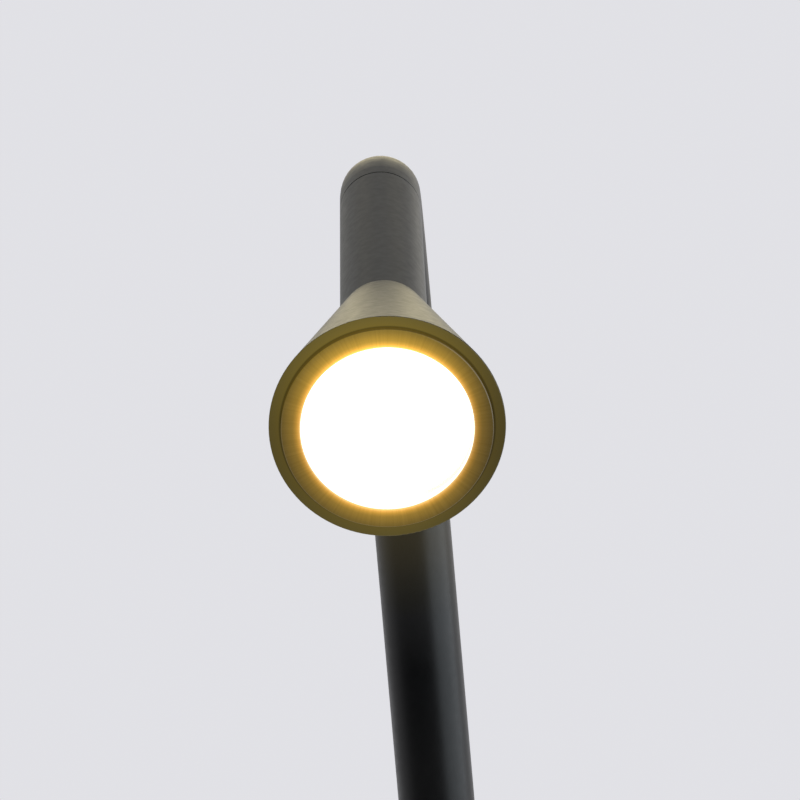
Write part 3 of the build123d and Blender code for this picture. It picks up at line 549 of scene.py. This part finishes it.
def domed_lens(finish):
    """The lens as moulded: a flat flange under the bezel and a low dome within its opening."""
    flange_edge = 0.4 * MM
    dome_radius = OPENING_RADIUS - 0.2 * MM
    dome_rise = 1.1 * MM
    dome_steps = 8
    smallest_ring = 0.5 * MM
    bpy.ops.mesh.primitive_cylinder_add(
        vertices=128, radius=LENS_RADIUS, depth=LENS_THICK, end_fill_type="NGON",
        location=(0, 0, LENS_THICK / 2))
    lens = bpy.context.object
    lens.name = "lens_dome"
    bpy.ops.object.transform_apply(location=True)

    select_front(lens)
    bpy.ops.mesh.inset(thickness=LENS_RADIUS - dome_radius, depth=0)
    angles = [pi / 2 * step / dome_steps for step in range(dome_steps + 1)]
    for low, high in zip(angles, angles[1:]):
        if cos(high) * dome_radius > smallest_ring:
            inwards = (cos(low) - cos(high)) * dome_radius
            bpy.ops.mesh.inset(thickness=inwards, depth=(sin(high) - sin(low)) * dome_rise)
    bpy.ops.mesh.poke()
    bpy.ops.object.mode_set(mode="OBJECT")

    bevel = lens.modifiers.new("edge", "BEVEL")
    bevel.width = flange_edge
    bevel.segments = 3
    bevel.limit_method = "ANGLE"
    bevel.angle_limit = radians(60)
    bpy.ops.object.shade_smooth_by_angle(angle=radians(40))
    bpy.ops.object.modifier_apply(modifier=bevel.name)
    lens.data.materials.append(finish)
    lens.data.transform(Matrix.Translation(LENS_BACK) @ Matrix.Rotation(HEAD_TURN[0], 4, "X"))
    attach(lens, "arm")
    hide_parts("lens")


def pale_floor():
    """A pale floor under the lamp that takes its shadow. Its far part has the background's colour,
    and reflections find the room's dark front on it, out in front of the lamp."""
    bpy.ops.mesh.primitive_plane_add(size=9.0, location=(0, 0, 0))
    floor = bpy.context.object
    floor.name = "floor"
    floor.data.transform(Matrix.Translation((0, 0, FLOOR_HEIGHT)))
    n = Nodes("floor_paper")
    below_lamp = n.local((0, -0.2, FLOOR_HEIGHT))
    far = n.span(n.radius(below_lamp), low=0.55, high=1.5, smooth=True)
    in_front = n.span(n.split(n.place)[1], -0.9, -0.3, 1, 0, smooth=True)
    dark = n.times(n.rays("Glossy"), in_front)
    flecked = n.mix(n.noise(scale=30, detail=3), PAPER_FLECK, PAPER)
    paper = n.principled(base_color=flecked, roughness=0.9, specular=0.2)
    plain = n.add("ShaderNodeEmission")
    n.link(n.mix(dark, PAPER, ROOM_FRONT), plain.inputs["Color"])
    seen_far = n.times(far, n.rays("Camera", "Glossy", "Transmission"))
    n.blend(n.math("MAXIMUM", seen_far, dark), paper, plain.outputs[0])
    floor.data.materials.append(n.material)


def mirrored_room(n):
    """The room by direction: dark in front of the lamp, dim behind it, bright at the rear right,
    and pale straight behind, warm where it stands for the lit wall."""
    x, y, z = n.split(n.place)
    behind = n.span(y, -0.1, 0.5, smooth=True)
    straight = n.span(n.math("ABSOLUTE", x), 0.10, 0.26, 1, 0, smooth=True)
    backdrop = n.times(straight, n.span(z, 0.26, 0.48, 1, 0, smooth=True))
    wall = n.times(backdrop, n.span(z, 0.02, 0.14, smooth=True))
    right = n.times(n.span(x, 0.16, 0.42, smooth=True), n.span(z, 0.10, 0.40, 1, 0, smooth=True))
    rear = n.mix(right, n.mix(backdrop, ROOM_REAR, PAPER), ROOM_RIGHT)
    return n.mix(behind, ROOM_FRONT, n.mix(wall, rear, LIT_WALL))


def studio_world():
    """Even soft light. The camera sees plain paper, and reflections see the room."""
    n = WorldNodes("studio")
    soft = n.add("ShaderNodeBackground")
    soft.inputs["Color"].default_value = SOFT_LIGHT
    soft.inputs["Strength"].default_value = SOFT_STRENGTH
    pale = n.add("ShaderNodeBackground")
    n.link(n.mix(n.rays("Camera", "Transmission"), mirrored_room(n), PAPER), pale.inputs["Color"])
    n.blend(n.rays("Camera", "Glossy", "Transmission"), soft.outputs[0], pale.outputs[0])
    bpy.context.scene.world = n.world


def softbox(name, place, width, height, power, colour=(1, 1, 1)):
    """A soft rectangular lamp, aimed at the middle of the object."""
    aim = Vector((0, -0.1, 0.25))
    data = bpy.data.lights.new(name, "AREA")
    data.shape = "RECTANGLE"
    data.size = width
    data.size_y = height
    data.energy = power
    data.color = colour
    lamp = bpy.data.objects.new(name, data)
    bpy.context.collection.objects.link(lamp)
    lamp.location = place
    lamp.rotation_euler = (aim - Vector(place)).to_track_quat("-Z", "Y").to_euler()
    lamp.visible_camera = False


def studio_lamps():
    softbox("right_window", (1.4, -0.50, 0.30), width=2.2, height=1.8, power=30,
            colour=(0.86, 0.94, 1.0))
    softbox("top_fill", (0.1, -0.2, 1.8), width=1.4, height=1.4, power=6)


def photo_camera():
    """The photograph's viewpoint: in front, at the bend's height, a little to the right, and
    turned slightly about the view line."""
    place = Vector((0.022927, -1.337226, 0.354963))
    yaw, pitch, roll = radians(-1.061), radians(-3.740), radians(-5.019)
    data = bpy.data.cameras.new("camera")
    data.lens = 174.07
    data.sensor_width = 36
    data.clip_start = 0.05
    data.clip_end = 60
    camera = bpy.data.objects.new("camera", data)
    bpy.context.collection.objects.link(camera)
    camera.matrix_world = (
        Matrix.Translation(place)
        @ Matrix.Rotation(-yaw, 4, "Z")
        @ Matrix.Rotation(pi / 2 + pitch, 4, "X")
        @ Matrix.Rotation(roll, 4, "Z")
    )
    bpy.context.scene.camera = camera


bpy.ops.object.select_all(action="DESELECT")
bpy.context.scene.view_settings.view_transform = "Standard"
photo_camera()
studio_world()
studio_lamps()
pale_floor()
finishes = finish_nodes()
domed_lens(finishes["opal_lens"])
